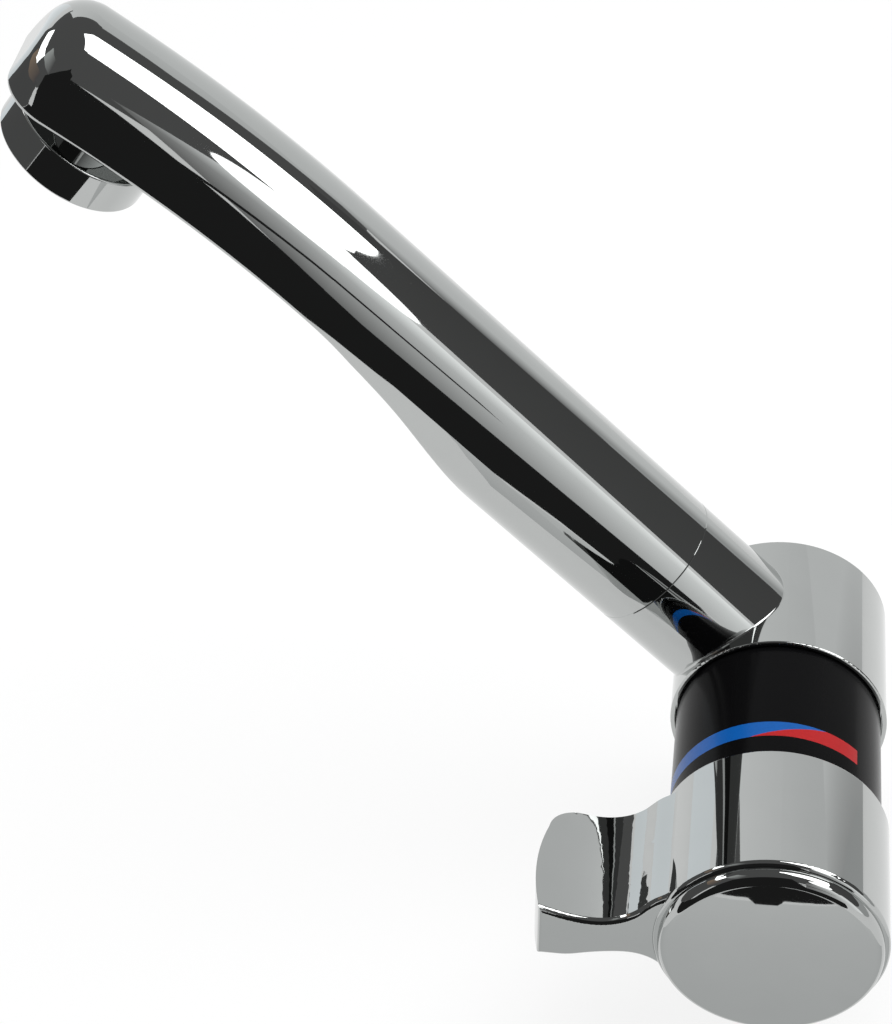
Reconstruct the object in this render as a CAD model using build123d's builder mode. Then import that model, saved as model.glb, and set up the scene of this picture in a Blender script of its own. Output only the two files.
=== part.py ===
from build123d import *
from math import cos, pi, radians, sin, sqrt
import os

# Compact mixer tap with a folding spout, in millimetres, +Z up.
# The origin is the centre of the base on the worktop. The barrel lies along Y with the
# lever at its -Y end, and the spout rises toward -X.

# Driving sizes of the barrel
axis_height = 42.0
collar_radius = 20.75
collar_wall = 1.55
sleeve_radius = 22.0
knob_radius = 22.2
collar_front = -15.3
knob_back = -15.65
knob_front = -45.3
cap_front = -48.9
sleeve_front = 15.6
sleeve_back = 47.2

# Driving sizes of the spout
spout_place = 31.7
spout_radius = 15.05
spout_rise = 44.7
spout_seam = 39.66
spout_straight = 133.9
spout_reach = 187.8
spout_droop = 9.8
spout_wall = 2.0
underside_depth = 2.2

# Driving sizes of the base and its fixing
flange_radius = 21.5
flange_height = 5.0
column_radius = 19.0
column_top = 27.4
shank_radius = 16.0
shank_bore = 13.3
shank_root_radius = 15.0
shank_length = 48.0
worktop_thickness = 18.0
spigot_radius = 5.8
coupling_radius = 6.0
coupling_length = 28.0
spigot_spacing = 7.0
spigot_length = 78.0

# Driving sizes of the turning fits
core_radius = 14.0
running_gap = 0.05
ring_gap = 0.02
seal_thickness = 0.89
fold_down = 50.0
fold_up = 10.0

# Directions shared by every piece
rise = radians(spout_rise)
droop = radians(spout_droop)
along = Vector(-cos(rise), 0, sin(rise))
above = Vector(sin(rise), 0, cos(rise))
barrel_axis = Axis((0, 0, axis_height), (0, 1, 0))
barrel_section = Plane(origin=(0, 0, axis_height), x_dir=(0, 1, 0), z_dir=(1, 0, 0))
spout_root = Vector(0, spout_place, axis_height)
droop_radius = (spout_reach - spout_straight) / droop


def turned(points):
    """A solid turned about the barrel axis from (place along the barrel, radius) points."""
    with BuildPart() as blank:
        with BuildSketch(barrel_section):
            with BuildLine():
                Polyline(*points, close=True)
            make_face()
        revolve(axis=barrel_axis)
    return blank.part


def barrel_rod(radius, start, end):
    """A solid rod on the barrel axis."""
    return turned([(start, 0), (start, radius), (end, radius), (end, 0)])


def barrel_ring(inner, outer, start, end):
    """A ring on the barrel axis."""
    return turned([(start, inner), (start, outer), (end, outer), (end, inner)])


def across(place):
    """A plane square to the barrel, seen from the lever end."""
    return Plane(origin=(0, place, axis_height), x_dir=(1, 0, 0), z_dir=(0, -1, 0))


def barrel_seals(groove_floor, places):
    """Rubber rings lying in grooves round the barrel axis."""
    with BuildPart() as seals:
        for place in places:
            with Locations(Location((0, place, axis_height), (90, 0, 0))):
                Torus(groove_floor + seal_thickness, seal_thickness)
    return seals.part


def groove(floor, outer, place):
    """The ring of metal taken out for one rubber ring."""
    half = seal_thickness + 0.2
    return barrel_ring(floor, outer, place - half, place + half)


def spout_point(reach):
    """The point of the spout's centre line at a distance from the barrel axis."""
    if reach <= spout_straight:
        return spout_root + along * reach
    turn = (reach - spout_straight) / droop_radius
    bend_centre = spout_root + along * spout_straight - above * droop_radius
    return bend_centre + above * (droop_radius * cos(turn)) + along * (droop_radius * sin(turn))


def spout_turn(reach):
    """How far the centre line has bent down at a distance from the barrel axis."""
    return max(reach - spout_straight, 0.0) / droop_radius


def spout_plane(reach):
    """The plane square to the spout, with its own y axis toward the crown."""
    turn = spout_turn(reach)
    forward = along * cos(turn) - above * sin(turn)
    return Plane(origin=spout_point(reach), x_dir=(0, -1, 0), z_dir=forward)


# The spout is a round tube, cut to a flat underside toward the tip
underside_start = 58.0
underside_points = ((70.0, 14.4), (80.0, 12.4), (95.0, 8.0), (107.0, 4.9), (120.0, 3.1))
underside_rounding = 1.0


def underside_cut(rise_of_cut):
    """What is cut away below the spout, or below its waterway when it is raised by the wall."""
    side = Plane(origin=spout_root, x_dir=along, z_dir=(0, 1, 0))
    low = 3 * spout_radius
    far = spout_plane(spout_reach)
    depth = underside_depth - rise_of_cut
    bend_end = spout_point(spout_reach) - far.y_dir * depth
    bend_middle_plane = spout_plane((spout_straight + spout_reach) / 2)
    bend_middle = bend_middle_plane.origin - bend_middle_plane.y_dir * depth
    beyond = bend_end + far.z_dir * (2 * spout_radius)
    foot = [(reach, rise_of_cut - drop) for reach, drop in underside_points]
    start = (underside_start, rise_of_cut - spout_radius - 0.4)
    straight_end = (spout_straight, -depth)
    middle = side.to_local_coords(bend_middle)
    end = side.to_local_coords(bend_end)
    last = side.to_local_coords(beyond)
    with BuildPart() as cutter:
        with BuildSketch(side):
            with BuildLine():
                Spline(start, *foot, straight_end, tangents=[(1, 0.02), (1, 0)])
                ThreePointArc(straight_end, (middle.X, middle.Y), (end.X, end.Y))
                Polyline(
                    (end.X, end.Y),
                    (last.X, last.Y),
                    (last.X, last.Y - low),
                    (underside_start, -low),
                    start,
                )
            make_face()
        extrude(amount=2 * spout_radius, both=True)
    return cutter.part


# The tip is a blunt nose: a slightly leaning flat end with a large rounding
nose_reach = 14.1
nose_lean = 5.7
nose_rounding = 8.6


def bent_tube(radius):
    """The round bar that follows the spout's centre line from the seam to the tip."""
    straight_end = spout_plane(spout_straight)
    bend_centre = straight_end.origin - straight_end.y_dir * droop_radius
    with BuildPart() as bar:
        with BuildSketch(spout_plane(spout_seam)):
            Circle(radius)
        extrude(amount=spout_straight - spout_seam)
        with BuildSketch(straight_end):
            Circle(radius)
        revolve(axis=Axis(bend_centre, straight_end.x_dir), revolution_arc=spout_droop)
    return bar.part


def spout_outside():
    """The outer form of the spout with its nose and its flat underside."""
    tip = spout_plane(spout_reach)
    end_normal = tip.z_dir.rotate(Axis.Y, nose_lean)
    end_plane = Plane(tip.origin + tip.z_dir * nose_reach, x_dir=tip.x_dir, z_dir=end_normal)
    with BuildPart() as form:
        add(bent_tube(spout_radius))
        with BuildSketch(tip):
            Circle(spout_radius)
        extrude(amount=2 * spout_radius)
        split(bisect_by=end_plane, keep=Keep.BOTTOM)
        fillet(form.faces().sort_by_distance(end_plane.origin)[0].edges(), nose_rounding)
        add(underside_cut(0), mode=Mode.SUBTRACT)
    return form.part


def spout_waterway():
    """The space inside the spout, drawn in by the wall and closed by a ball end."""
    radius = spout_radius - spout_wall
    with BuildPart() as form:
        add(bent_tube(radius))
        with Locations(spout_point(spout_reach)):
            Sphere(radius)
        add(underside_cut(spout_wall), mode=Mode.SUBTRACT)
    return form.part


def underside_rims(piece):
    """The long edges round the flat underside, without those across it."""
    downward = piece.faces().filter_by(lambda face: face.normal_at().dot(above) < -0.8)
    rims = ShapeList()
    for edge in ShapeList(edge for face in downward for edge in face.edges()):
        shared = [face for face in downward if edge in face.edges()]
        if len(shared) == 1:
            rims.append(edge)
    return rims


# The base casting: a round foot and column that carry the eye of the barrel
eye_radius = collar_radius - collar_wall
eye_front = -15.1
eye_back = 17.6
neck_half_width = 15.0
saddle_radius = 23.2
shank_socket = 9.0
spigot_socket = 18.0
waterway_radius = 2.5
waterway_place = 7.0
gasket_inner = 17.4
gasket_outer = 20.4
gasket_thickness = 1.2

with BuildPart() as base_casting:
    Cylinder(flange_radius, flange_height, align=(Align.CENTER, Align.CENTER, Align.MIN))
    fillet(base_casting.edges().group_by(Axis.Z)[-1], 1.5)
    Cylinder(column_radius, column_top, align=(Align.CENTER, Align.CENTER, Align.MIN))
    fillet(base_casting.edges().group_by(Axis.Z)[-1], 1.2)
    with BuildSketch(Plane.XY.offset(flange_height)):
        Rectangle(2 * neck_half_width, 2 * column_radius)
        Circle(column_radius, mode=Mode.INTERSECT)
    extrude(amount=axis_height - flange_height)
    add(barrel_rod(saddle_radius, -2 * column_radius, eye_front), mode=Mode.SUBTRACT)
    add(barrel_rod(saddle_radius, -eye_front, 2 * column_radius), mode=Mode.SUBTRACT)
    add(barrel_rod(eye_radius, eye_front, eye_back))
    add(barrel_rod(core_radius, eye_front, eye_back), mode=Mode.SUBTRACT)
    Cylinder(
        shank_root_radius,
        shank_socket,
        align=(Align.CENTER, Align.CENTER, Align.MIN),
        mode=Mode.SUBTRACT,
    )
    with Locations((-spigot_spacing, 0, 0), (spigot_spacing, 0, 0)):
        Cylinder(
            spigot_radius,
            spigot_socket,
            align=(Align.CENTER, Align.CENTER, Align.MIN),
            mode=Mode.SUBTRACT,
        )
        Cylinder(
            waterway_radius,
            axis_height,
            align=(Align.CENTER, Align.CENTER, Align.MIN),
            mode=Mode.SUBTRACT,
        )
    with BuildSketch():
        Circle(gasket_outer)
        Circle(gasket_inner, mode=Mode.SUBTRACT)
    extrude(amount=gasket_thickness, mode=Mode.SUBTRACT)

# The flat rubber ring that seals the foot to the worktop
with BuildPart() as deck_gasket:
    with BuildSketch():
        Circle(gasket_outer)
        Circle(gasket_inner, mode=Mode.SUBTRACT)
    extrude(amount=gasket_thickness)

# The threaded shank that passes through the worktop
thread_depth = 0.6
thread_pitch = 1.5
thread_run = 42.0

with BuildPart() as mounting_shank:
    with BuildSketch(Plane.XY.offset(-shank_length)):
        Circle(shank_radius)
    extrude(amount=shank_length)
    with BuildSketch():
        Circle(shank_root_radius)
    extrude(amount=shank_socket)
    with BuildSketch(Plane.XY.offset(-shank_length)):
        Circle(shank_bore)
    extrude(amount=shank_length + shank_socket, mode=Mode.SUBTRACT)
    thread_count = int(thread_run / thread_pitch)
    for turn in range(thread_count):
        thread_level = turn * thread_pitch - shank_length
        with BuildSketch(Plane.XZ):
            with BuildLine():
                Polyline(
                    (shank_radius + 0.1, thread_level),
                    (shank_radius + 0.1, thread_level + thread_pitch),
                    (shank_radius - thread_depth, thread_level + thread_pitch / 2),
                    close=True,
                )
            make_face()
        revolve(axis=Axis.Z, mode=Mode.SUBTRACT)

# The washers and the nut that clamp the tap under the worktop
washer_radius = 25.0
rubber_thickness = 2.5
steel_thickness = 1.5
nut_height = 9.0
nut_flats = 41.0
under_worktop = -worktop_thickness

with BuildPart() as rubber_washer:
    with BuildSketch(Plane.XY.offset(under_worktop)):
        Circle(washer_radius)
        Circle(shank_radius, mode=Mode.SUBTRACT)
    extrude(amount=-rubber_thickness)

with BuildPart() as clamp_washer:
    with BuildSketch(Plane.XY.offset(under_worktop - rubber_thickness)):
        Circle(washer_radius)
        Circle(shank_radius, mode=Mode.SUBTRACT)
    extrude(amount=-steel_thickness)

nut_top = under_worktop - rubber_thickness - steel_thickness
with BuildPart() as mounting_nut:
    with BuildSketch(Plane.XY.offset(nut_top)):
        RegularPolygon(nut_flats / 2, 6, major_radius=False)
        Circle(shank_radius, mode=Mode.SUBTRACT)
    extrude(amount=-nut_height)
    chamfer(mounting_nut.faces().sort_by(Axis.Z)[0].outer_wire().edges(), 1.0)
    chamfer(mounting_nut.faces().sort_by(Axis.Z)[-1].outer_wire().edges(), 1.0)

# The two inlet tails: pipes sealed in the casting, with ends sized for supply couplings
tail_bore = 4.0
tail_chamfer = 0.8
tail_seal_place = 13.0
tail_seal = 0.6


def spigot(place):
    """One inlet pipe with its seal groove near the top."""
    with BuildPart() as pipe:
        with BuildSketch(Plane(origin=(place, 0, 0), x_dir=(1, 0, 0), z_dir=(0, -1, 0))):
            with BuildLine():
                Polyline(
                    (tail_bore, -spigot_length),
                    (coupling_radius - tail_chamfer, -spigot_length),
                    (coupling_radius, tail_chamfer - spigot_length),
                    (coupling_radius, coupling_length - spigot_length),
                    (spigot_radius, coupling_length - spigot_length),
                    (spigot_radius, spigot_socket),
                    (tail_bore, spigot_socket),
                    close=True,
                )
            make_face()
            with Locations((spigot_radius, tail_seal_place)):
                Rectangle(4 * tail_seal, 2 * tail_seal + 0.2, mode=Mode.SUBTRACT)
        revolve(axis=Axis((place, 0, 0), (0, 0, 1)))
    return pipe.part


with BuildPart() as cold_spigot:
    add(spigot(-spigot_spacing))

with BuildPart() as hot_spigot:
    add(spigot(spigot_spacing))

# The rubber rings that seal the spigots in the casting
with BuildPart() as spigot_o_rings:
    with Locations((-spigot_spacing, 0, tail_seal_place), (spigot_spacing, 0, tail_seal_place)):
        Torus(spigot_radius - tail_seal, tail_seal)

# The brass core: it feeds the cartridge from the base and carries the folding sleeve
core_front = -1.0
core_back = 41.0
seal_floor = core_radius - 2 * seal_thickness
eye_seal_places = (2.6, 12.6)
sleeve_seal_places = (24.0, 39.0)
outlet_bore = 3.5
outlet_end = 34.0
journal_radius = core_radius - running_gap
port_groove_depth = 2.0
port_groove_half = 4.0
outlet_port = 2.8
retaining_thread = 3.0
retaining_depth = 35.5

with BuildPart() as valve_core:
    add(barrel_rod(core_radius, core_front, eye_back))
    add(barrel_rod(journal_radius, eye_back, core_back))
    for place in eye_seal_places:
        add(groove(seal_floor, core_radius + 1, place), mode=Mode.SUBTRACT)
    sleeve_seal_floor = core_radius - ring_gap - 2 * seal_thickness
    for place in sleeve_seal_places:
        add(groove(sleeve_seal_floor, core_radius + 1, place), mode=Mode.SUBTRACT)
    port_ring = barrel_ring(
        core_radius - port_groove_depth,
        core_radius + 1,
        spout_place - port_groove_half,
        spout_place + port_groove_half,
    )
    add(port_ring, mode=Mode.SUBTRACT)
    add(barrel_rod(outlet_bore, core_front, outlet_end), mode=Mode.SUBTRACT)
    add(barrel_rod(retaining_thread, retaining_depth, core_back), mode=Mode.SUBTRACT)
    with Locations((0, spout_place, axis_height)):
        Cylinder(outlet_port, 2 * core_radius, mode=Mode.SUBTRACT)
        Cylinder(outlet_port, 2 * core_radius, rotation=(0, 90, 0), mode=Mode.SUBTRACT)
    feed_places = [(side * spigot_spacing, waterway_place, axis_height) for side in (-1, 1)]
    with Locations(*feed_places):
        Cylinder(
            waterway_radius,
            core_radius + 1,
            align=(Align.CENTER, Align.CENTER, Align.MAX),
            mode=Mode.SUBTRACT,
        )
    with BuildSketch(across(core_front)):
        with Locations((-spigot_spacing, 0), (spigot_spacing, 0)):
            Circle(waterway_radius)
    extrude(amount=core_front - waterway_place, mode=Mode.SUBTRACT)

# The rubber rings that seal the core in the eye
with BuildPart() as core_o_rings:
    add(barrel_seals(seal_floor, eye_seal_places))

# The rubber rings that the folding sleeve turns on
with BuildPart() as sleeve_o_rings:
    add(barrel_seals(sleeve_seal_floor, sleeve_seal_places))

# The grub screw that stops the core turning in the eye
lock_screw_radius = 2.0
lock_screw_place = 7.6
lock_screw_foot = 12.0
lock_screw_socket = 1.0

lock_plane = Plane(origin=(0, lock_screw_place, axis_height + lock_screw_foot))
with BuildPart(mode=Mode.PRIVATE) as lock_hole:
    with BuildSketch(lock_plane):
        Circle(lock_screw_radius)
    extrude(amount=eye_radius)

with BuildPart() as core_lock_screw:
    with BuildSketch(lock_plane):
        Circle(lock_screw_radius)
    extrude(amount=eye_radius - lock_screw_foot - 0.5)
    with BuildSketch(core_lock_screw.faces().sort_by(Axis.Z)[-1]):
        RegularPolygon(lock_screw_socket, 6)
    extrude(amount=-2.0, mode=Mode.SUBTRACT)

with base_casting:
    add(lock_hole.part, mode=Mode.SUBTRACT)

with valve_core:
    add(lock_hole.part, mode=Mode.SUBTRACT)

# The black collar with the temperature stripe round it
collar_back = 17.4
collar_gap_half = 15.2
collar_chamfer = 0.2
stripe_front = -10.0
stripe_back = -6.1
stripe_depth = 0.5
cold_from = -92.0
hot_to = 45.0
wedge_from = -18.0
wedge_to = 24.0

with BuildPart() as indicator_collar:
    add(barrel_ring(eye_radius, collar_radius, collar_front, collar_back))
    with Locations((0, 0, axis_height - collar_radius)):
        Box(2 * collar_gap_half, 4 * column_radius, 2 * collar_radius, mode=Mode.SUBTRACT)
    front_rims = indicator_collar.edges().filter_by(GeomType.CIRCLE).group_by(Axis.Y)[0]
    chamfer(front_rims.sort_by(SortBy.RADIUS)[-1], collar_chamfer)

with BuildPart(mode=Mode.PRIVATE) as stripe_band:
    add(
        barrel_ring(
            collar_radius - stripe_depth, collar_radius, stripe_front, stripe_back
        )
    )


def fan(start, end):
    """A wedge of the barrel between two angles, counted from straight up toward +X."""
    far = 3 * collar_radius
    middle = (start + end) / 2
    corners = [(0, 0)]
    for angle in (start, middle, end):
        corners.append((far * sin(radians(angle)), far * cos(radians(angle))))
    with BuildPart() as wedge:
        with BuildSketch(across(stripe_back)):
            with BuildLine():
                Polyline(*corners, close=True)
            make_face()
        extrude(amount=stripe_back - stripe_front)
    return wedge.part


# The slanting boundary between the colours runs across the band over the top of the barrel
def hot_side():
    """The part of the barrel on the hot side of the boundary."""
    top = axis_height + 2 * collar_radius
    wedge_left = collar_radius * sin(radians(wedge_from))
    wedge_right = collar_radius * sin(radians(wedge_to))
    with BuildPart() as side:
        with BuildSketch(Plane.XY.offset(axis_height)):
            with BuildLine():
                Polyline(
                    (wedge_left, stripe_front),
                    (wedge_right, stripe_back),
                    (2 * collar_radius, stripe_back),
                    (2 * collar_radius, stripe_front),
                    close=True,
                )
            make_face()
        extrude(amount=top - axis_height)
    return side.part


with BuildPart() as cold_stripe:
    add(stripe_band.part)
    add(fan(cold_from, wedge_to), mode=Mode.INTERSECT)
    add(hot_side(), mode=Mode.SUBTRACT)

with BuildPart() as hot_stripe:
    add(stripe_band.part)
    add(fan(wedge_from, hot_to), mode=Mode.INTERSECT)
    add(hot_side(), mode=Mode.INTERSECT)

with indicator_collar:
    add(cold_stripe.part, mode=Mode.SUBTRACT)
    add(hot_stripe.part, mode=Mode.SUBTRACT)

# The cartridge: a plastic housing with a seal, a fixed disc, a turning disc and a spindle
housing_radius = 13.9
housing_bore = 12.0
housing_wall_back = -8.5
housing_wall_front = -11.5
housing_neck = 9.0
housing_front = -23.3
seal_front = -2.0
fixed_front = -4.4
moving_front = -6.6
spindle_radius = 5.0
spindle_front = -38.0
spindle_flat = 3.9
flat_back = -23.6

with BuildPart() as cartridge_housing:
    housing_outline = [
        (core_front, housing_bore),
        (core_front, housing_radius),
        (housing_wall_front, housing_radius),
        (housing_wall_front, housing_neck),
        (housing_front, housing_neck),
        (housing_front, spindle_radius + running_gap),
        (housing_wall_back, spindle_radius + running_gap),
        (housing_wall_back, housing_bore),
    ]
    add(turned(housing_outline))


def ported_disc(radius, back, front):
    """A disc with the two inlet ports and the outlet port through it."""
    with BuildPart() as disc:
        add(barrel_rod(radius, back, front))
        with BuildSketch(across(back)):
            Circle(outlet_bore)
            with Locations((-spigot_spacing, 0), (spigot_spacing, 0)):
                Circle(waterway_radius)
        extrude(amount=back - front, mode=Mode.SUBTRACT)
    return disc.part


with BuildPart() as cartridge_seal:
    add(ported_disc(housing_bore, core_front, seal_front))

with BuildPart() as fixed_disc:
    add(ported_disc(housing_bore - 0.1, seal_front, fixed_front))

with BuildPart() as moving_disc:
    add(barrel_rod(housing_bore - 0.4, fixed_front - ring_gap, moving_front))
    with BuildSketch(across(fixed_front)):
        with Locations((-spigot_spacing / 2, 0)):
            SlotOverall(spigot_spacing + 2 * outlet_bore, 2 * outlet_bore)
    extrude(amount=1.4, mode=Mode.SUBTRACT)

spindle_seal_place = -19.0
spindle_seal = 0.75
spindle_seal_floor = spindle_radius + running_gap - ring_gap - 2 * spindle_seal
knob_screw_radius = 2.5
knob_screw_depth = 12.0
with BuildPart() as spindle:
    add(barrel_rod(housing_bore - 0.6, moving_front, housing_wall_back + 0.05))
    add(barrel_rod(spindle_radius, moving_front, spindle_front))
    spindle_groove = barrel_ring(
        spindle_seal_floor,
        spindle_radius + 1,
        spindle_seal_place - spindle_seal - 0.1,
        spindle_seal_place + spindle_seal + 0.1,
    )
    add(spindle_groove, mode=Mode.SUBTRACT)
    with BuildSketch(across(flat_back)):
        Circle(spindle_radius + 1)
        Rectangle(3 * spindle_radius, 2 * spindle_flat, mode=Mode.SUBTRACT)
    extrude(amount=flat_back - spindle_front, mode=Mode.SUBTRACT)
    add(
        barrel_rod(knob_screw_radius, spindle_front + knob_screw_depth, spindle_front),
        mode=Mode.SUBTRACT,
    )

with BuildPart() as spindle_o_ring:
    with Locations(Location((0, spindle_seal_place, axis_height), (90, 0, 0))):
        Torus(spindle_seal_floor + spindle_seal, spindle_seal)

# The brass nut that holds the cartridge in the eye
cartridge_nut_flats = 30.0
cartridge_nut_front = -19.5
with BuildPart() as cartridge_nut:
    add(barrel_rod(core_radius, housing_wall_front, eye_front))
    with BuildSketch(across(eye_front)):
        RegularPolygon(cartridge_nut_flats / 2, 6, major_radius=False)
    extrude(amount=eye_front - cartridge_nut_front)
    add(
        barrel_rod(housing_neck, housing_wall_front, cartridge_nut_front),
        mode=Mode.SUBTRACT,
    )

# The lever knob: a hollow cap over the cartridge with a dished paddle on its side
knob_wall_bore = 19.4
knob_web_back = -40.0
knob_web_front = -42.6
cap_recess = 20.0
hub_radius = 9.0
hub_back = -24.0
paddle_front = -44.7
paddle_back = -17.2
paddle_edge = 1.1

paddle_tip = -45.0
paddle_tip_sides = -43.6
paddle_corner = 6.0
paddle_root = -15.0
paddle_high = 10.97
paddle_low = -9.6
dish_points = ((-19.3, paddle_high), (-22.2, 8.4), (-25.4, 4.9), (-32.0, 1.9), (-38.0, 2.4))
belly_points = ((-34.8, -7.7), (-29.5, -6.6), (-24.0, -6.8), (-20.0, paddle_low))
tip_top = (-46.0, 5.2)
tip_bottom = (-46.0, -8.6)
belly_start = (-39.6, -8.6)

with BuildPart() as paddle:
    with BuildSketch(across(paddle_front)):
        with BuildLine():
            Spline(*dish_points, tip_top, tangents=[(-0.5, -0.87), (-0.9, 0.4)])
            Line(tip_top, tip_bottom)
            Line(tip_bottom, belly_start)
            Spline(belly_start, *belly_points, tangents=[(1, 0), (0.5, -0.87)])
            Line((-20.0, paddle_low), (paddle_root, paddle_low))
            Line((paddle_root, paddle_low), (paddle_root, paddle_high))
            Line((paddle_root, paddle_high), (-19.3, paddle_high))
        make_face()
    extrude(amount=paddle_front - paddle_back)
    tip_front = (paddle_tip_sides, paddle_front)
    tip_middle = (paddle_tip, paddle_front + 13.0)
    tip_back = (paddle_tip_sides, paddle_back - paddle_corner)
    corner_middle = (-41.8, paddle_back - 2.0)
    corner_end = (-38.0, paddle_back)
    with BuildSketch(Plane.XY.offset(axis_height - knob_radius)):
        with BuildLine():
            Line((0, paddle_front), tip_front)
            ThreePointArc(tip_front, tip_middle, tip_back)
            ThreePointArc(tip_back, corner_middle, corner_end)
            Polyline(corner_end, (0, paddle_back), (0, paddle_front))
        make_face()
    extrude(amount=2 * knob_radius, mode=Mode.INTERSECT)
    outline = paddle.edges().filter_by(lambda edge: edge.center().X < paddle_root - 2)
    front_outline = outline.group_by(Axis.Y)[0]
    fillet(front_outline, paddle_edge)

with BuildPart() as lever_knob:
    knob_outline = [
        (knob_back, 0),
        (knob_back, knob_radius),
        (knob_front, knob_radius),
        (knob_front, 0),
    ]
    add(turned(knob_outline))
    fillet(lever_knob.edges().filter_by(GeomType.CIRCLE).sort_by(Axis.Y)[0], 1.0)
    fillet(lever_knob.edges().filter_by(GeomType.CIRCLE).sort_by(Axis.Y)[-1], 0.3)
    add(paddle.part)
    add(barrel_rod(knob_wall_bore, knob_back, knob_web_back), mode=Mode.SUBTRACT)
    add(barrel_rod(hub_radius, hub_back, knob_web_back - 0.5))
    with BuildSketch(across(hub_back)):
        Circle(spindle_radius)
        Rectangle(3 * spindle_radius, 2 * spindle_flat, mode=Mode.INTERSECT)
    extrude(amount=hub_back - spindle_front, mode=Mode.SUBTRACT)
    add(barrel_rod(cap_recess, knob_web_front, knob_front), mode=Mode.SUBTRACT)
    add(barrel_rod(knob_screw_radius, spindle_front, knob_web_front), mode=Mode.SUBTRACT)

# The screw that holds the knob on the spindle
screw_head = 4.5
screw_head_height = 2.2
with BuildPart() as knob_screw:
    add(barrel_rod(knob_screw_radius, spindle_front + knob_screw_depth - 1, knob_web_front))
    add(barrel_rod(screw_head, knob_web_front, knob_web_front - screw_head_height))
    with BuildSketch(across(knob_web_front - screw_head_height)):
        RegularPolygon(2.0, 6)
    extrude(amount=-1.5, mode=Mode.SUBTRACT)

# The domed cap that closes the lever end of the barrel
cap_radius = 21.2
cap_back = -45.3
cap_skirt_inner = 18.4
cap_dome = 1.0
cap_rounding = 2.2
cap_flat = 3.0
rim_place = cap_front + cap_dome
rim_slant = cap_rounding * (1 - cos(pi / 4))
dome_edge = cap_radius - cap_rounding
dome_width = dome_edge - cap_flat
dome_radius = (dome_width**2 + cap_dome**2) / (2 * cap_dome)
dome_middle = cap_front + dome_radius - sqrt(dome_radius**2 - (dome_width / 2) ** 2)
with BuildPart() as end_cap:
    with BuildSketch(barrel_section):
        with BuildLine():
            Polyline(
                (cap_front, cap_flat),
                (cap_front, 0),
                (knob_front, 0),
                (knob_front, cap_skirt_inner),
                (knob_web_front - 0.3, cap_skirt_inner),
                (knob_web_front - 0.3, cap_recess),
                (cap_back, cap_recess),
                (cap_back, cap_radius),
                (rim_place + cap_rounding, cap_radius),
            )
            ThreePointArc(
                (rim_place + cap_rounding, cap_radius),
                (rim_place + rim_slant, cap_radius - rim_slant),
                (rim_place, dome_edge),
            )
            ThreePointArc(
                (rim_place, dome_edge),
                (dome_middle, cap_flat + dome_width / 2),
                (cap_front, cap_flat),
            )
        make_face()
    revolve(axis=barrel_axis)

# The folding sleeve: it turns on the core and carries the stub of the spout
lip_bore = 21.15
lip_depth = 3.0
lip_rounding = 0.4
sleeve_bore = core_radius
rear_recess = 17.5
stub_thread = 11.0
stub_thread_start = 27.0
stub_bore = 5.0
stop_inset = 1.6
stop_radius = eye_radius - stop_inset
stop_pin_radius = 1.1
stop_clearance = 0.3
stop_margin = 1.0
stop_angle = 0.0
stop_pin_foot = 13.0
stop_pin_end = 21.5
inner_face = sleeve_front + lip_depth
crease_rounding = 0.4
seam_chamfer = 0.15


def seam_rim(piece):
    """The outer edge of a piece at the seam between the stub and the spout."""
    rims = piece.edges().filter_by(GeomType.CIRCLE)
    rims = rims.filter_by(lambda rim: abs(rim.radius - spout_radius) < running_gap)
    return rims.sort_by_distance(spout_point(spout_seam))[0]


with BuildPart() as fold_sleeve:
    add(barrel_rod(sleeve_radius, sleeve_front, sleeve_back))
    with BuildSketch(spout_plane(0)):
        Circle(spout_radius)
    extrude(amount=spout_seam)
    fillet(fold_sleeve.edges().filter_by(GeomType.BSPLINE), crease_rounding)
    chamfer(seam_rim(fold_sleeve), seam_chamfer)
    fillet(fold_sleeve.edges().group_by(Axis.Y)[0], lip_rounding)
    add(barrel_rod(lip_bore, sleeve_front, inner_face), mode=Mode.SUBTRACT)
    add(barrel_rod(sleeve_bore, inner_face, core_back), mode=Mode.SUBTRACT)
    add(barrel_rod(rear_recess, core_back, sleeve_back), mode=Mode.SUBTRACT)
    with BuildSketch(spout_plane(0)):
        Circle(stub_bore)
    extrude(amount=spout_seam, mode=Mode.SUBTRACT)
    with BuildSketch(spout_plane(stub_thread_start)):
        Circle(stub_thread)
    extrude(amount=spout_seam - stub_thread_start, mode=Mode.SUBTRACT)
    with BuildSketch(across(inner_face)):
        with BuildLine(mode=Mode.PRIVATE) as stop_path:
            CenterArc(
                (0, 0),
                stop_radius,
                stop_angle - fold_down - stop_margin,
                fold_down + fold_up + 2 * stop_margin,
            )
        SlotArc(stop_path.edges()[0], 2 * (stop_pin_radius + stop_clearance))
    extrude(amount=inner_face - stop_pin_end - 0.5, mode=Mode.SUBTRACT)

# The pin in the eye that stops the sleeve at both ends of its travel
with BuildPart(mode=Mode.PRIVATE) as stop_rod:
    with BuildSketch(across(stop_pin_foot)):
        with PolarLocations(stop_radius, 1, start_angle=stop_angle):
            Circle(stop_pin_radius)
    extrude(amount=stop_pin_foot - stop_pin_end)

with BuildPart() as fold_stop_pin:
    add(stop_rod.part)

with base_casting:
    add(stop_rod.part, mode=Mode.SUBTRACT)

# The washer between the eye and the sleeve
thrust_outer = 16.0
face_gap = 0.1
with BuildPart() as thrust_washer:
    add(barrel_ring(journal_radius, thrust_outer, eye_back, inner_face - face_gap))

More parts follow.
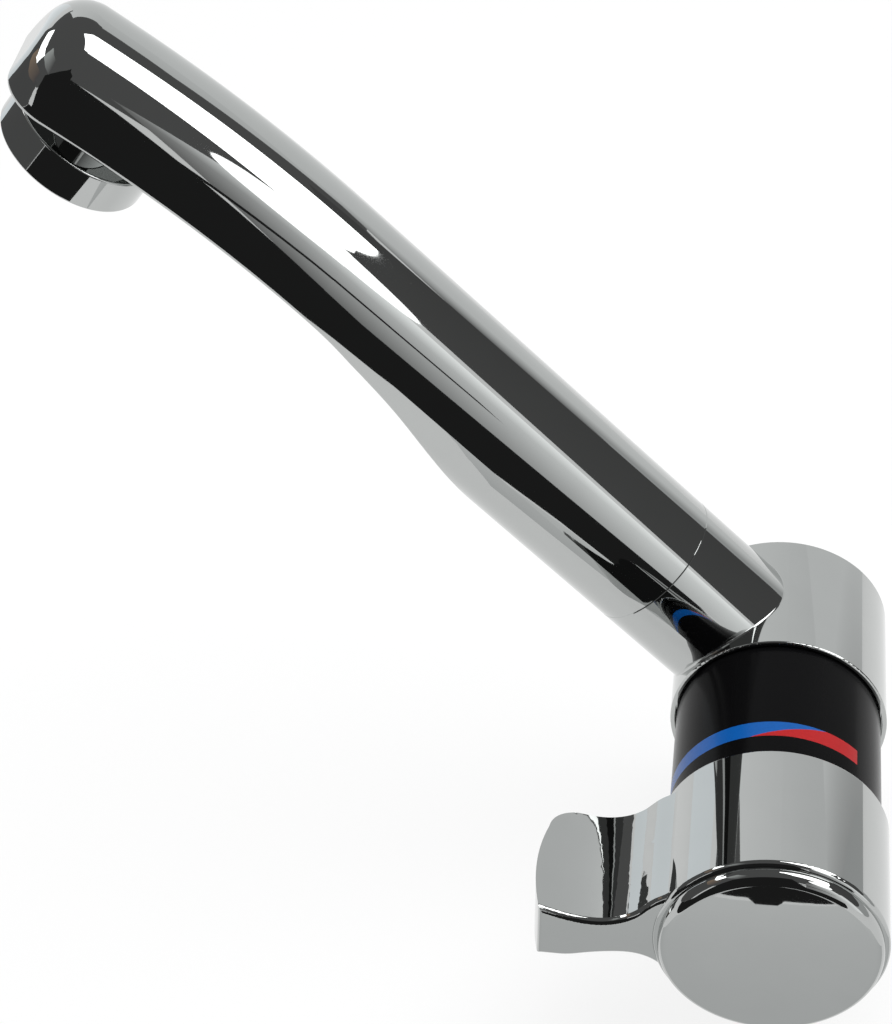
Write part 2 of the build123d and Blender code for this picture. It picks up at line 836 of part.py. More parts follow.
# The washer and the screw that keep the sleeve on the core, and the cap over them
retaining_outer = 17.2
retaining_thickness = 1.5
retaining_head = 6.0
retaining_head_height = 2.6
washer_face = core_back + face_gap
head_face = washer_face + retaining_thickness
with BuildPart() as retaining_washer:
    add(barrel_ring(retaining_thread, retaining_outer, washer_face, head_face))
    add(barrel_ring(retaining_thread, journal_radius - 2, core_back, washer_face))

with BuildPart() as retaining_screw:
    add(barrel_rod(retaining_thread, retaining_depth + 0.5, head_face))
    add(barrel_rod(retaining_head, head_face, head_face + retaining_head_height))
    with BuildSketch(across(head_face + retaining_head_height)):
        RegularPolygon(2.5, 6)
    extrude(amount=1.8, mode=Mode.SUBTRACT)

rear_cap_back = sleeve_back + 0.3
rear_cap_inner = head_face + retaining_head_height + 0.3
with BuildPart() as rear_cap:
    add(barrel_rod(rear_recess, rear_cap_inner, rear_cap_back))
    fillet(rear_cap.edges().filter_by(GeomType.CIRCLE).sort_by(Axis.Y)[-1], 0.8)

# The nipple that joins the spout to the stub, with its two seals
nipple_end = 57.0
nipple_bore = 8.5
nipple_radius = spout_radius - spout_wall - 0.1
nipple_seal = 0.75
nipple_seal_places = (46.0, 52.0)
with BuildPart() as spout_nipple:
    with BuildSketch(spout_plane(stub_thread_start)):
        Circle(stub_thread)
    extrude(amount=spout_seam - stub_thread_start)
    with BuildSketch(spout_plane(spout_seam)):
        Circle(nipple_radius)
    extrude(amount=nipple_end - spout_seam)
    for place in nipple_seal_places:
        with BuildSketch(spout_plane(place - nipple_seal - 0.1)):
            Circle(nipple_radius + 1)
            Circle(nipple_radius - 2 * nipple_seal, mode=Mode.SUBTRACT)
        extrude(amount=2 * nipple_seal + 0.2, mode=Mode.SUBTRACT)
    with BuildSketch(spout_plane(stub_thread_start)):
        Circle(nipple_bore)
    extrude(amount=nipple_end - stub_thread_start, mode=Mode.SUBTRACT)

with BuildPart() as nipple_o_rings:
    for place in nipple_seal_places:
        with Locations(spout_plane(place)):
            Torus(nipple_radius - nipple_seal, nipple_seal)

# The spout tube: a hollow form with a threaded neck under its tip
outlet_setback = 4.0
neck_radius = 12.0
neck_bore = 10.2
neck_end = 8.2
tip_plane = spout_plane(spout_reach)
outlet_down = tip_plane.y_dir * -1
outlet_top = tip_plane.origin - tip_plane.z_dir * outlet_setback


def outlet_plane(depth):
    """The plane square to the outlet at a depth below the spout's centre line."""
    return Plane(origin=outlet_top + outlet_down * depth, x_dir=(0, 1, 0), z_dir=outlet_down)


with BuildPart() as spout_tube:
    add(spout_outside())
    fillet(underside_rims(spout_tube), underside_rounding)
    chamfer(seam_rim(spout_tube), seam_chamfer)
    with BuildSketch(outlet_plane(underside_depth - 0.5)):
        Circle(neck_radius)
    extrude(amount=neck_end - underside_depth + 0.5)
    add(spout_waterway(), mode=Mode.SUBTRACT)
    with BuildSketch(outlet_plane(0)):
        Circle(neck_bore)
    extrude(amount=neck_end, mode=Mode.SUBTRACT)

# The aerator: a collar screwed on the neck with a gasket, a nozzle body and screens
aerator_radius = 15.07
aerator_top = 5.4
aerator_bottom = 13.1
aerator_mouth = 11.2
gasket_end = neck_end + 0.9
nozzle_end = aerator_bottom - 1.0

with BuildPart() as aerator_collar:
    with BuildSketch(outlet_plane(aerator_top)):
        Circle(aerator_radius)
        Circle(neck_radius, mode=Mode.SUBTRACT)
    extrude(amount=nozzle_end - aerator_top)
    with BuildSketch(outlet_plane(nozzle_end)):
        Circle(aerator_radius)
        Circle(aerator_mouth, mode=Mode.SUBTRACT)
    extrude(amount=aerator_bottom - nozzle_end)
    rims = aerator_collar.edges().filter_by(GeomType.CIRCLE).sort_by(SortBy.RADIUS)[-2:]
    fillet(rims, 0.4)

with BuildPart() as aerator_gasket:
    with BuildSketch(outlet_plane(neck_end)):
        Circle(neck_radius)
        Circle(neck_bore, mode=Mode.SUBTRACT)
    extrude(amount=gasket_end - neck_end)

nozzle_hole = 0.85
nozzle_rings = 4
with BuildPart() as aerator_body:
    with BuildSketch(outlet_plane(gasket_end)):
        Circle(neck_radius)
    extrude(amount=nozzle_end - gasket_end)
    with BuildSketch(outlet_plane(gasket_end)):
        Circle(nozzle_hole)
        for ring in range(1, nozzle_rings + 1):
            with PolarLocations(ring * 2.3, 6 * ring):
                Circle(nozzle_hole)
    extrude(amount=nozzle_end - gasket_end, mode=Mode.SUBTRACT)

screen_thickness = 0.3
screen_levels = (neck_end - 0.9, neck_end - 1.8)
with BuildPart() as aerator_screens:
    for level in screen_levels:
        with BuildSketch(outlet_plane(level)):
            Circle(neck_bore)
            with GridLocations(2.4, 2.4, 7, 7):
                Rectangle(1.6, 1.6, mode=Mode.SUBTRACT)
        extrude(amount=screen_thickness)

# The pieces by the name of their node
pieces = {
    "base_casting": base_casting,
    "deck_gasket": deck_gasket,
    "mounting_shank": mounting_shank,
    "rubber_washer": rubber_washer,
    "clamp_washer": clamp_washer,
    "mounting_nut": mounting_nut,
    "cold_spigot": cold_spigot,
    "hot_spigot": hot_spigot,
    "spigot_o_rings": spigot_o_rings,
    "valve_core": valve_core,
    "core_o_rings": core_o_rings,
    "core_lock_screw": core_lock_screw,
    "indicator_collar": indicator_collar,
    "cold_stripe": cold_stripe,
    "hot_stripe": hot_stripe,
    "cartridge_housing": cartridge_housing,
    "cartridge_seal": cartridge_seal,
    "fixed_disc": fixed_disc,
    "moving_disc": moving_disc,
    "spindle": spindle,
    "spindle_o_ring": spindle_o_ring,
    "cartridge_nut": cartridge_nut,
    "lever_knob": lever_knob,
    "knob_screw": knob_screw,
    "end_cap": end_cap,
    "fold_sleeve": fold_sleeve,
    "sleeve_o_rings": sleeve_o_rings,
    "thrust_washer": thrust_washer,
    "retaining_washer": retaining_washer,
    "retaining_screw": retaining_screw,
    "rear_cap": rear_cap,
    "fold_stop_pin": fold_stop_pin,
    "spout_nipple": spout_nipple,
    "nipple_o_rings": nipple_o_rings,
    "spout_tube": spout_tube,
    "aerator_collar": aerator_collar,
    "aerator_gasket": aerator_gasket,
    "aerator_body": aerator_body,
    "aerator_screens": aerator_screens,
}

os.makedirs("parts", exist_ok=True)
for name, piece in pieces.items():
    piece.part.label = name
    export_step(piece.part, f"parts/{name}.step")
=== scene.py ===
import math

import bpy
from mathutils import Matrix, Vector

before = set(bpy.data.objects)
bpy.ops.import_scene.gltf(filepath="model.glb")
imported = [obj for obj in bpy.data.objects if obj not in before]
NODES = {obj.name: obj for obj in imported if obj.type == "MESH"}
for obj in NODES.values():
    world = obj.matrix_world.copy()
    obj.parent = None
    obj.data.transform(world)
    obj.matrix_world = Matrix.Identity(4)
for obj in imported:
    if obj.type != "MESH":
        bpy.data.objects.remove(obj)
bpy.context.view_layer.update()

bl_info = {
    "name": "Compact mixer tap looks",
    "version": (1, 0, 0),
    "blender": (4, 5, 0),
    "location": "3D View > Sidebar > Tap",
    "description": "Finishes and studio for the compact mixer tap",
    "category": "Object",
}

MM = 0.001
TAP_MIDDLE = (-0.06, 0.02, 0.1)

# The camera's fixed sizes: sensor in millimetres, nearest point that it shows in metres
SENSOR_WIDTH = 36.0
NEAREST_SHOWN = 0.01

# The colour sockets of a mix node, which come after its sockets for numbers
FIRST_COLOUR = 6
SECOND_COLOUR = 7
MIXED_COLOUR = 2
WHITE = (1.0, 1.0, 1.0, 1.0)

# The floor, how much of it shows as white near the tap, and where it is all white
FLOOR_SIZE = 6.0
FLOOR_LIFT = 0.85
FLOOR_FADE_START = 1.0
FLOOR_FADE_END = 2.6

# Brightness of the cards for red, green and blue, where 1 is the white of the surround
BLACK = (0.02, 0.02, 0.02)
DARK = (0.09, 0.09, 0.09)
DIM = (0.12, 0.12, 0.12)
GREY = (0.50, 0.51, 0.51)
SOFT_BOX = (4.0, 4.0, 4.0)

# Flat cards that only mirrors see: name, corners (lower left, lower right, upper left,
# upper right, in metres), and brightness at the left and right edge, with an even fade
# between
CARDS = (
    (
        "pale wall behind",
        ((-0.38, 0.62, 0.0), (0.46, 0.62, 0.0), (-0.38, 0.62, 0.50), (0.46, 0.62, 0.50)),
        (0.93, 0.94, 0.94),
        (0.86, 0.87, 0.87),
    ),
    (
        "fade of the wall behind",
        ((0.46, 0.62, 0.0), (0.86, 0.62, 0.0), (0.46, 0.62, 0.50), (0.86, 0.62, 0.50)),
        (0.86, 0.87, 0.87),
        (0.15, 0.15, 0.15),
    ),
    (
        "top of the wall behind",
        ((-0.42, 0.62, 0.50), (0.60, 0.62, 0.50), (-0.40, 0.62, 0.78), (0.50, 0.62, 0.78)),
        (0.96, 0.97, 0.97),
        (0.74, 0.75, 0.75),
    ),
    (
        "grey wall on the right",
        ((0.66, 0.62, 0.0), (0.80, -0.36, 0.0), (0.66, 0.62, 0.30), (0.80, -0.36, 0.34)),
        GREY,
        GREY,
    ),
    (
        "dark shelf on the right",
        ((0.54, 0.44, 0.15), (0.585, -0.28, 0.15), (0.52, 0.42, 0.54), (0.56, -0.27, 0.54)),
        DARK,
        (0.10, 0.10, 0.10),
    ),
    (
        "long soft box",
        ((0.38, 0.20, 0.38), (0.37, -0.14, 0.40), (0.01, 0.18, 0.77), (0.18, -0.08, 0.71)),
        SOFT_BOX,
        SOFT_BOX,
    ),
    (
        "dark wall on the left",
        ((-1.05, -0.80, 0.0), (-1.05, 1.00, 0.0), (-1.05, -0.80, 0.75), (-1.05, 1.00, 0.75)),
        (0.11, 0.11, 0.11),
        (0.11, 0.11, 0.11),
    ),
    (
        "window on the left",
        ((-0.74, 0.47, 0.0), (-0.37, 0.67, 0.0), (-0.75, 0.47, 0.30), (-0.37, 0.68, 0.30)),
        (1.02, 1.08, 1.12),
        (1.02, 1.06, 1.08),
    ),
    (
        "dark room in front",
        ((-0.80, -0.78, 0.0), (0.18, -0.78, 0.0), (-0.80, -0.78, 0.95), (0.26, -0.78, 0.95)),
        BLACK,
        BLACK,
    ),
    (
        "dark table edge",
        ((-1.0, -1.2, 0.002), (0.9, -1.2, 0.002), (-1.0, -0.17, 0.002), (0.03, -0.125, 0.002)),
        BLACK,
        BLACK,
    ),
    (
        "shade at the table edge",
        (
            (-0.016, -0.14, 0.003),
            (0.016, -0.14, 0.003),
            (-0.004, -0.12, 0.003),
            (0.004, -0.12, 0.003),
        ),
        BLACK,
        BLACK,
    ),
    # Painted shadow: a grey card that mirrors see on the worktop in front of the foot, darker
    # toward the foot, stands in for the tap's shadow there
    (
        "painted shadow on the worktop in front of the foot",
        (
            (-0.09, -0.125, 0.001),
            (-0.09, -0.05, 0.001),
            (0.09, -0.125, 0.001),
            (0.09, -0.05, 0.001),
        ),
        (0.83, 0.84, 0.84),
        (0.68, 0.69, 0.69),
    ),
    (
        "dim ceiling",
        ((-3.0, -3.0, 1.6), (3.0, -3.0, 1.6), (-3.0, 3.0, 1.6), (3.0, 3.0, 1.6)),
        DIM,
        DIM,
    ),
)

# Cards placed by the direction in which the spout shows them: name, the point of the spout
# that they are seen from, how far off they hang, the bearing and height of each corner in
# degrees (a bearing of 0 is +Y and 90 is +X), and brightness as above
SPOUT_MIDDLE = (-0.10, 0.022, 0.155)
SPOUT_TIP = (-0.14, 0.026, 0.183)
SIGHTED_CARDS = (
    (
        "grey skirt in front",
        SPOUT_MIDDLE,
        1.1,
        ((116, -8), (163, -9), (121, 30), (149, 30)),
        (1.5, 1.52, 1.52),
        (0.24, 0.24, 0.24),
    ),
    (
        "stand in front",
        SPOUT_MIDDLE,
        0.95,
        ((138, 4), (160, 9.5), (138, 5.3), (160, 13)),
        BLACK,
        BLACK,
    ),
    (
        "left soft box",
        SPOUT_TIP,
        0.9,
        ((-92, 33), (-48, 22), (-92, 46), (-48, 34)),
        SOFT_BOX,
        SOFT_BOX,
    ),
    (
        "glow over the left soft box",
        SPOUT_TIP,
        0.95,
        ((-150, 38), (-92, 45), (-145, 58), (-88, 58)),
        DIM,
        (0.55, 0.57, 0.56),
    ),
    (
        "warm glow under the left soft box",
        SPOUT_TIP,
        0.95,
        ((-125, 22), (-62, 19), (-125, 36), (-62, 26)),
        (0.12, 0.11, 0.11),
        (0.36, 0.27, 0.20),
    ),
)

# A rounded card that faces the middle of the tap, with its width and height
ROUND_BOX_PLACE = (0.29, -0.20, 0.385)
ROUND_BOX_SIZE = (0.215, 0.165)
ROUND_BOX_TONE = (2.6, 2.6, 2.6)
ROUND_BOX_SIDES = 48

# Lamps that mirrors don't see, aimed at the middle of the tap: name, place, width and
# height, brightness
LAMPS = (
    ("key", (0.11, 0.10, 0.62), (0.36, 0.70), 2.1),
    ("left fill", (-0.78, 0.30, 0.68), (0.40, 0.40), 1.3),
    ("overhead", (0.0, 0.1, 1.5), (1.6, 1.6), 1.85),
)


# Small helpers


def linear(hex_colour):
    """A linear colour with alpha from an sRGB hex string such as #C8CACA."""
    channels = []
    for start in (1, 3, 5):
        value = int(hex_colour[start:start + 2], 16) / 255
        if value <= 0.04045:
            channels.append(value / 12.92)
        else:
            channels.append(((value + 0.055) / 1.055) ** 2.4)
    return (*channels, 1.0)


def add_node(tree, kind, links=(), **settings):
    """Adds one shader node, sets its sockets or properties and links its inputs."""
    node = tree.nodes.new(kind)
    for name, value in settings.items():
        if name in node.inputs:
            node.inputs[name].default_value = value
        else:
            setattr(node, name, value)
    for name, source in links:
        tree.links.new(source, node.inputs[name])
    return node


def new_material(name):
    """An empty material with its tree and its output node."""
    material = bpy.data.materials.new(name)
    material.use_nodes = True
    tree = material.node_tree
    tree.nodes.clear()
    output = tree.nodes.new("ShaderNodeOutputMaterial")
    return material, tree, output


def finish_node(name, material):
    """Gives a CAD node its finish."""
    mesh = NODES[name].data
    mesh.materials.clear()
    mesh.materials.append(material)


# Materials


def grained_surface(name, colours, gloss, grain, depth, stretch=(1.0, 1.0, 1.0), **sockets):
    """A material whose colour, gloss and height vary with a grain of a real size.

    colours are its two shades, gloss its lowest and highest roughness, grain the spacing
    of the pattern and depth its height, both in millimetres."""
    material, tree, output = new_material(name)
    place = add_node(tree, "ShaderNodeTexCoord")
    along = add_node(
        tree,
        "ShaderNodeMapping",
        links=[("Vector", place.outputs["Object"])],
        Scale=stretch,
    )
    pattern = add_node(
        tree,
        "ShaderNodeTexNoise",
        links=[("Vector", along.outputs["Vector"])],
        Scale=1 / (grain * MM),
        Detail=2.0,
    )
    shade = add_node(tree, "ShaderNodeMix", data_type="RGBA")
    tree.links.new(pattern.outputs["Fac"], shade.inputs["Factor"])
    shade.inputs[FIRST_COLOUR].default_value = linear(colours[0])
    shade.inputs[SECOND_COLOUR].default_value = linear(colours[1])
    polish = add_node(tree, "ShaderNodeMapRange", links=[("Value", pattern.outputs["Fac"])])
    polish.inputs["To Min"].default_value = gloss[0]
    polish.inputs["To Max"].default_value = gloss[1]
    relief = add_node(
        tree,
        "ShaderNodeBump",
        links=[("Height", pattern.outputs["Fac"])],
        Distance=depth * MM,
    )
    surface = add_node(
        tree,
        "ShaderNodeBsdfPrincipled",
        links=[
            ("Base Color", shade.outputs[MIXED_COLOUR]),
            ("Roughness", polish.outputs["Result"]),
            ("Normal", relief.outputs["Normal"]),
        ],
        **sockets,
    )
    tree.links.new(surface.outputs["BSDF"], output.inputs["Surface"])
    return material


def chrome_plate():
    """Bright chrome plated on polished brass and ABS."""
    # A near-perfect mirror with a faint cool tint. The polishing under the plating leaves
    # a faint waviness about 9 mm long, which only bends the edges of reflections a little.
    return grained_surface(
        "chrome plate, polished",
        ("#B7B9B8", "#B3B5B4"),
        (0.02, 0.04),
        grain=9.0,
        depth=0.003,
        Metallic=1.0,
    )


def turned_brass():
    """Brass as it comes from the lathe."""
    # Yellow with a soft sheen; the tool marks are 0.4 mm apart, drawn coarser than real.
    return grained_surface(
        "brass, turned",
        ("#C9A45C", "#B8924A"),
        (0.24, 0.36),
        grain=0.4,
        depth=0.01,
        stretch=(0.15, 1.0, 0.15),
        Metallic=1.0,
    )


def rolled_steel():
    """Stainless steel as rolled and pressed."""
    # Grey with a dull shine and fine rolling lines half a millimetre apart.
    return grained_surface(
        "stainless steel, rolled",
        ("#A9ABAD", "#989A9C"),
        (0.26, 0.40),
        grain=0.5,
        depth=0.008,
        stretch=(0.1, 1.0, 1.0),
        Metallic=1.0,
    )


def nitrile_rubber():
    """Moulded nitrile rubber of the rings and gaskets."""
    # Dark grey and matt, with a fine bloom a third of a millimetre across.
    return grained_surface(
        "nitrile rubber, moulded",
        ("#151515", "#1E1E1F"),
        (0.55, 0.75),
        grain=0.35,
        depth=0.01,
        IOR=1.52,
    )


def satin_black_abs(colour):
    """Moulded ABS of the collar, painted satin black."""
    # Deep black with a thin, soft shine; the paint has a fine orange peel under 1 mm long.
    return grained_surface(
        "ABS, moulded and painted satin black",
        (colour, "#0B0B0C"),
        (0.16, 0.24),
        grain=0.9,
        depth=0.0008,
        **{"IOR": 1.45, "Specular IOR Level": 0.05},
    )


def pad_printed_ink(name, colour, second_colour):
    """Pad-printed ink of the temperature stripe, under a clear lacquer."""
    # An even colour with a slight mottle half a millimetre across and a soft shine.
    return grained_surface(
        name,
        (colour, second_colour),
        (0.25, 0.35),
        grain=0.5,
        depth=0.0008,
        **{"IOR": 1.5, "Specular IOR Level": 0.2},
    )


def moulded_nylon():
    """Glass-filled nylon of the cartridge housing."""
    # Dark grey, half matt, mottled by the short glass fibres in it.
    return grained_surface(
        "glass-filled nylon, moulded",
        ("#5B5D60", "#4E5053"),
        (0.40, 0.55),
        grain=0.6,
        depth=0.01,
        IOR=1.53,
    )


def moulded_acetal():
    """Acetal of the aerator body and the thrust washer."""
    # Milky white with a waxy shine.
    return grained_surface(
        "acetal, moulded",
        ("#DADAD6", "#D0D0CB"),
        (0.30, 0.42),
        grain=0.8,
        depth=0.004,
        IOR=1.48,
    )


def lapped_alumina():
    """Alumina ceramic of the two discs, lapped flat."""
    # Ivory white; lapping leaves a fine, almost glossy grain.
    return grained_surface(
        "alumina ceramic, lapped",
        ("#ECEAE4", "#E2E0D8"),
        (0.12, 0.22),
        grain=0.3,
        depth=0.001,
        IOR=1.76,
    )


CHROME_NODES = (
    "base_casting",
    "cold_spigot",
    "hot_spigot",
    "lever_knob",
    "end_cap",
    "fold_sleeve",
    "rear_cap",
    "spout_tube",
    "aerator_collar",
)
BRASS_NODES = (
    "mounting_shank",
    "mounting_nut",
    "valve_core",
    "spindle",
    "cartridge_nut",
    "spout_nipple",
)
STEEL_NODES = (
    "clamp_washer",
    "core_lock_screw",
    "knob_screw",
    "retaining_washer",
    "retaining_screw",
    "fold_stop_pin",
    "aerator_screens",
)
RUBBER_NODES = (
    "deck_gasket",
    "rubber_washer",
    "spigot_o_rings",
    "core_o_rings",
    "cartridge_seal",
    "spindle_o_ring",
    "sleeve_o_rings",
    "nipple_o_rings",
    "aerator_gasket",
)


class TapFinishSettings(bpy.types.PropertyGroup):
    """Colours of the tap that a user may change."""

    collar_colour: bpy.props.StringProperty(
        name="Collar colour",
        description="sRGB hex colour of the collar",
        default="#0A0A0B",
    )
    cold_colour: bpy.props.StringProperty(
        name="Cold stripe colour",
        description="sRGB hex colour of the cold side of the stripe",
        default="#0557A9",
    )
    hot_colour: bpy.props.StringProperty(
        name="Hot stripe colour",
        description="sRGB hex colour of the hot side of the stripe",
        default="#B2191D",
    )


class TapStageSettings(bpy.types.PropertyGroup):
    """Sizes of the studio."""

    lens: bpy.props.FloatProperty(
        name="Lens",
        description="Focal length of the camera",
        default=92.52,
        unit="CAMERA",
    )
    camera_place: bpy.props.FloatVectorProperty(
        name="Camera place",
        description="Where the camera stands",
        default=(-0.0206, -0.3813, 0.41451),
        subtype="TRANSLATION",
        unit="LENGTH",
    )
    camera_tilt: bpy.props.FloatProperty(
        name="Camera tilt",
        description="How far the camera looks below the horizon",
        default=0.68045,
        subtype="ANGLE",
    )
    camera_turn: bpy.props.FloatProperty(
        name="Camera turn",
        description="How far the camera is turned to the left",
        default=0.11995,
        subtype="ANGLE",
    )
    floor_colour: bpy.props.StringProperty(
        name="Floor colour",
        description="sRGB hex colour of the floor",
        default="#F8F9F9",
    )
    room_light: bpy.props.FloatProperty(
        name="Room light",
        description="Brightness of the white surround as it lights the tap",
        default=0.35,
        min=0.0,
    )


class TAP_OT_metal_finishes(bpy.types.Operator):
    """Gives the metal pieces their finishes"""

    bl_idname = "tap.metal_finishes"
    bl_label = "Metal finishes"

    def execute(self, context):
        chrome = chrome_plate()
        brass = turned_brass()
        steel = rolled_steel()
        for name in CHROME_NODES:
            finish_node(name, chrome)
        for name in BRASS_NODES:
            finish_node(name, brass)
        for name in STEEL_NODES:
            finish_node(name, steel)
        return {"FINISHED"}


class TAP_OT_plastic_finishes(bpy.types.Operator):
    """Gives the plastic, ceramic and rubber pieces their finishes"""

    bl_idname = "tap.plastic_finishes"
    bl_label = "Plastic and rubber finishes"

    def execute(self, context):
        settings = context.scene.tap_finish
        finish_node("indicator_collar", satin_black_abs(settings.collar_colour))
        cold = pad_printed_ink("cold stripe ink, pad printed", settings.cold_colour, "#044E94")
        hot = pad_printed_ink("hot stripe ink, pad printed", settings.hot_colour, "#A01518")
        finish_node("cold_stripe", cold)
        finish_node("hot_stripe", hot)
        rubber = nitrile_rubber()
        for name in RUBBER_NODES:
            finish_node(name, rubber)
        acetal = moulded_acetal()
        alumina = lapped_alumina()
        finish_node("cartridge_housing", moulded_nylon())
        finish_node("thrust_washer", acetal)
        finish_node("aerator_body", acetal)
        finish_node("fixed_disc", alumina)
        finish_node("moving_disc", alumina)
        return {"FINISHED"}


class TAP_OT_stage(bpy.types.Operator):
    """Sets up the floor, the lamps, the cards and the camera"""

    bl_idname = "tap.stage"
    bl_label = "Studio"

    def execute(self, context):
        settings = context.scene.tap_stage
        make_floor(settings)
        make_room(settings)
        make_cards()
        make_lamps()
        make_camera(settings)
        context.scene.view_settings.view_transform = "Standard"
        return {"FINISHED"}


def direct_rays(tree):
    """A socket that is 1 for rays from the camera, a mirror or glass, and 0 for the rest."""
    rays = add_node(tree, "ShaderNodeLightPath")
    socket = rays.outputs["Is Camera Ray"]
    for kind in ("Is Glossy Ray", "Is Transmission Ray"):
        either = add_node(tree, "ShaderNodeMath", operation="MAXIMUM")
        tree.links.new(socket, either.inputs[0])
        tree.links.new(rays.outputs[kind], either.inputs[1])
        socket = either.outputs["Value"]
    return socket


def make_floor(settings):
    """A plain white worktop at the underside of the foot."""
    bpy.ops.object.select_all(action="DESELECT")
    bpy.ops.mesh.primitive_plane_add(size=FLOOR_SIZE, location=(0, 0, 0))
    floor = bpy.context.object
    floor.name = "floor"
    material, tree, output = new_material("white worktop")
    surface = add_node(
        tree,
        "ShaderNodeBsdfDiffuse",
        Color=linear(settings.floor_colour),
    )
    # Seen by the camera, a mirror or glass, the worktop is lifted toward white, and the
    # tap's shadow stays on it. Far from the tap it fades to the white of the surround.
    place = add_node(tree, "ShaderNodeTexCoord")
    distance = add_node(
        tree,
        "ShaderNodeVectorMath",
        links=[(0, place.outputs["Object"])],
        operation="LENGTH",
    )
    lift = add_node(
        tree,
        "ShaderNodeMapRange",
        links=[("Value", distance.outputs["Value"])],
        **{
            "From Min": FLOOR_FADE_START,
            "From Max": FLOOR_FADE_END,
            "To Min": FLOOR_LIFT,
            "To Max": 1.0,
        },
    )
    share = add_node(tree, "ShaderNodeMath", operation="MULTIPLY")
    tree.links.new(direct_rays(tree), share.inputs[0])
    tree.links.new(lift.outputs["Result"], share.inputs[1])
    white = add_node(tree, "ShaderNodeEmission", Color=WHITE, Strength=1.0)
    lifted = add_node(tree, "ShaderNodeMixShader")
    tree.links.new(share.outputs[0], lifted.inputs[0])
    tree.links.new(surface.outputs["BSDF"], lifted.inputs[1])
    tree.links.new(white.outputs["Emission"], lifted.inputs[2])
    tree.links.new(lifted.outputs["Shader"], output.inputs["Surface"])
    floor.data.materials.append(material)


def make_room(settings):
    """A white surround for the camera, mirrors and glass, with a plain level of light."""
    world = bpy.data.worlds.new("studio")
    world.use_nodes = True
    tree = world.node_tree
    tree.nodes.clear()
    output = tree.nodes.new("ShaderNodeOutputWorld")
    plain = add_node(tree, "ShaderNodeBackground", Color=WHITE, Strength=settings.room_light)
    white = add_node(tree, "ShaderNodeBackground", Color=WHITE, Strength=1.0)
    mixed = add_node(tree, "ShaderNodeMixShader")
    tree.links.new(direct_rays(tree), mixed.inputs[0])
    tree.links.new(plain.outputs["Background"], mixed.inputs[1])
    tree.links.new(white.outputs["Background"], mixed.inputs[2])
    tree.links.new(mixed.outputs["Shader"], output.inputs["Surface"])
    bpy.context.scene.world = world


def glow_material(name, left_tone, right_tone):
    """A glow that fades evenly from a card's left edge to its right edge."""
    material, tree, output = new_material(name)
    place = add_node(tree, "ShaderNodeTexCoord")
    across = add_node(tree, "ShaderNodeSeparateXYZ", links=[("Vector", place.outputs["UV"])])
    fade = add_node(tree, "ShaderNodeMix", data_type="RGBA")
    tree.links.new(across.outputs["X"], fade.inputs["Factor"])
    fade.inputs[FIRST_COLOUR].default_value = (*left_tone, 1.0)
    fade.inputs[SECOND_COLOUR].default_value = (*right_tone, 1.0)
    glow = add_node(tree, "ShaderNodeEmission", links=[("Color", fade.outputs[MIXED_COLOUR])])
    tree.links.new(glow.outputs["Emission"], output.inputs["Surface"])
    return material


def show_to_mirrors(board, name, left_tone, right_tone):
    """Makes a card that mirrors see and that neither lights nor shades anything."""
    board.name = name
    board.data.materials.append(glow_material(name, left_tone, right_tone))
    board.visible_camera = False
    board.visible_diffuse = False
    board.visible_shadow = False


def in_sight(place, bearing, height, distance):
    """The point at a bearing, a height angle and a distance from a place."""
    level = distance * math.cos(math.radians(height))
    return (
        place[0] + level * math.sin(math.radians(bearing)),
        place[1] + level * math.cos(math.radians(bearing)),
        place[2] + distance * math.sin(math.radians(height)),
    )


def make_card(name, corners, left_tone, right_tone):
    """One flat card with its corners at given points."""
    bpy.ops.object.select_all(action="DESELECT")
    bpy.ops.mesh.primitive_plane_add(size=1.0)
    board = bpy.context.object
    for vertex, corner in zip(board.data.vertices, corners):
        vertex.co = corner
    show_to_mirrors(board, name, left_tone, right_tone)


def make_cards():
    """The pale and dark cards that the chrome mirrors."""
    for name, corners, left_tone, right_tone in CARDS:
        make_card(name, corners, left_tone, right_tone)
    for name, place, distance, directions, left_tone, right_tone in SIGHTED_CARDS:
        corners = [in_sight(place, bearing, height, distance) for bearing, height in directions]
        make_card(name, corners, left_tone, right_tone)
    bpy.ops.object.select_all(action="DESELECT")
    aim = Vector(TAP_MIDDLE) - Vector(ROUND_BOX_PLACE)
    bpy.ops.mesh.primitive_circle_add(
        vertices=ROUND_BOX_SIDES,
        radius=0.5,
        fill_type="NGON",
        location=ROUND_BOX_PLACE,
        rotation=aim.to_track_quat("Z", "Y").to_euler(),
    )
    board = bpy.context.object
    board.scale = (*ROUND_BOX_SIZE, 1.0)
    show_to_mirrors(board, "round soft box", ROUND_BOX_TONE, ROUND_BOX_TONE)


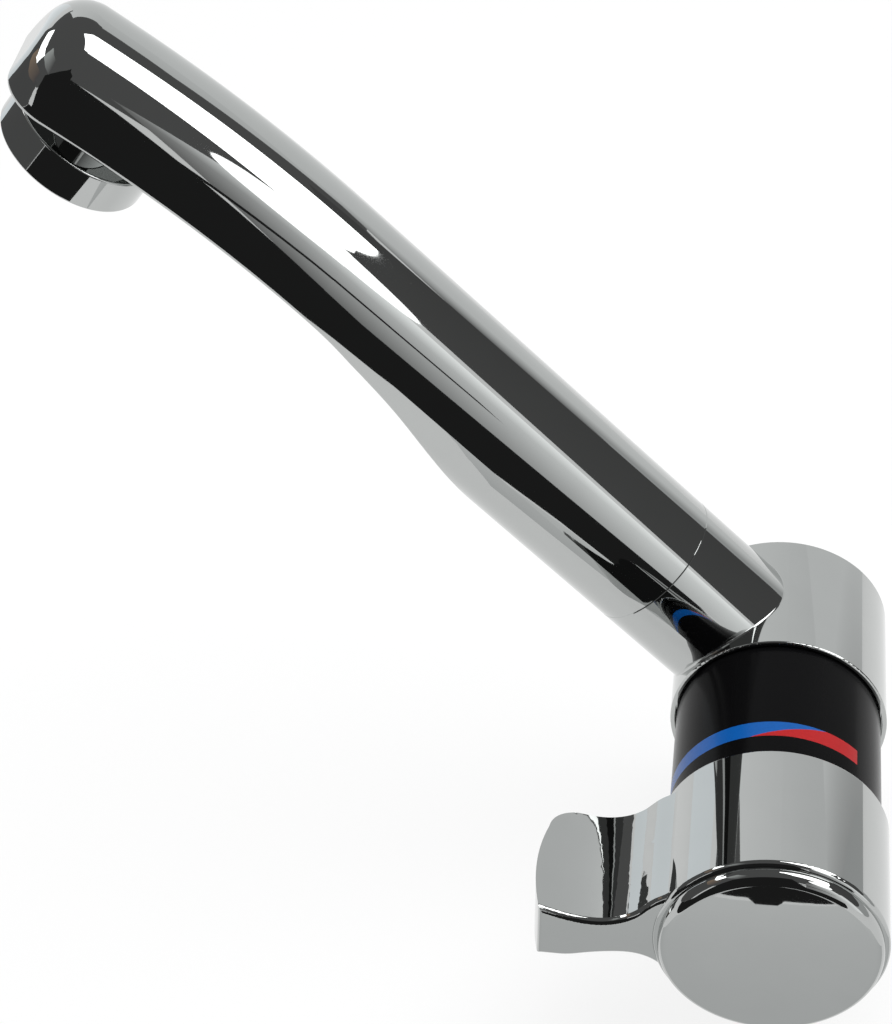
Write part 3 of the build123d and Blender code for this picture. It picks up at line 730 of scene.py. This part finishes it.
def make_lamps():
    """Soft lamps at a plain level, which mirrors don't see because they see the cards."""
    for name, place, size, tone in LAMPS:
        lamp = bpy.data.lights.new(name, "AREA")
        lamp.shape = "RECTANGLE"
        lamp.size, lamp.size_y = size
        # The lamp's power grows with its face, so brightness is the same for any size
        lamp.energy = tone * math.pi * lamp.size * lamp.size_y
        box = bpy.data.objects.new(name, lamp)
        bpy.context.scene.collection.objects.link(box)
        box.location = place
        aim = Vector(TAP_MIDDLE) - Vector(place)
        box.rotation_euler = aim.to_track_quat("-Z", "Y").to_euler()
        box.visible_camera = False
        box.visible_glossy = False


def make_camera(settings):
    """The camera at the photograph's angle."""
    camera_data = bpy.data.cameras.new("camera")
    camera_data.sensor_width = SENSOR_WIDTH
    camera_data.lens = settings.lens
    camera_data.clip_start = NEAREST_SHOWN
    camera = bpy.data.objects.new("camera", camera_data)
    bpy.context.scene.collection.objects.link(camera)
    camera.location = settings.camera_place
    camera.rotation_euler = (math.pi / 2 - settings.camera_tilt, 0, settings.camera_turn)
    bpy.context.scene.camera = camera


class TAP_PT_panel(bpy.types.Panel):
    """Lists the tap's operators"""

    bl_idname = "TAP_PT_panel"
    bl_label = "Compact mixer tap"
    bl_space_type = "VIEW_3D"
    bl_region_type = "UI"
    bl_category = "Tap"

    def draw(self, context):
        layout = self.layout
        layout.prop(context.scene.tap_finish, "collar_colour")
        layout.prop(context.scene.tap_finish, "cold_colour")
        layout.prop(context.scene.tap_finish, "hot_colour")
        for operator in OPERATORS:
            layout.operator(operator.bl_idname)


OPERATORS = (TAP_OT_metal_finishes, TAP_OT_plastic_finishes, TAP_OT_stage)
CLASSES = (TapFinishSettings, TapStageSettings, *OPERATORS, TAP_PT_panel)


def register():
    for cls in CLASSES:
        bpy.utils.register_class(cls)
    bpy.types.Scene.tap_finish = bpy.props.PointerProperty(type=TapFinishSettings)
    bpy.types.Scene.tap_stage = bpy.props.PointerProperty(type=TapStageSettings)


def unregister():
    del bpy.types.Scene.tap_stage
    del bpy.types.Scene.tap_finish
    for cls in reversed(CLASSES):
        bpy.utils.unregister_class(cls)


def main():
    register()
    bpy.ops.tap.metal_finishes()
    bpy.ops.tap.plastic_finishes()
    bpy.ops.tap.stage()


if __name__ == "__main__":
    main()
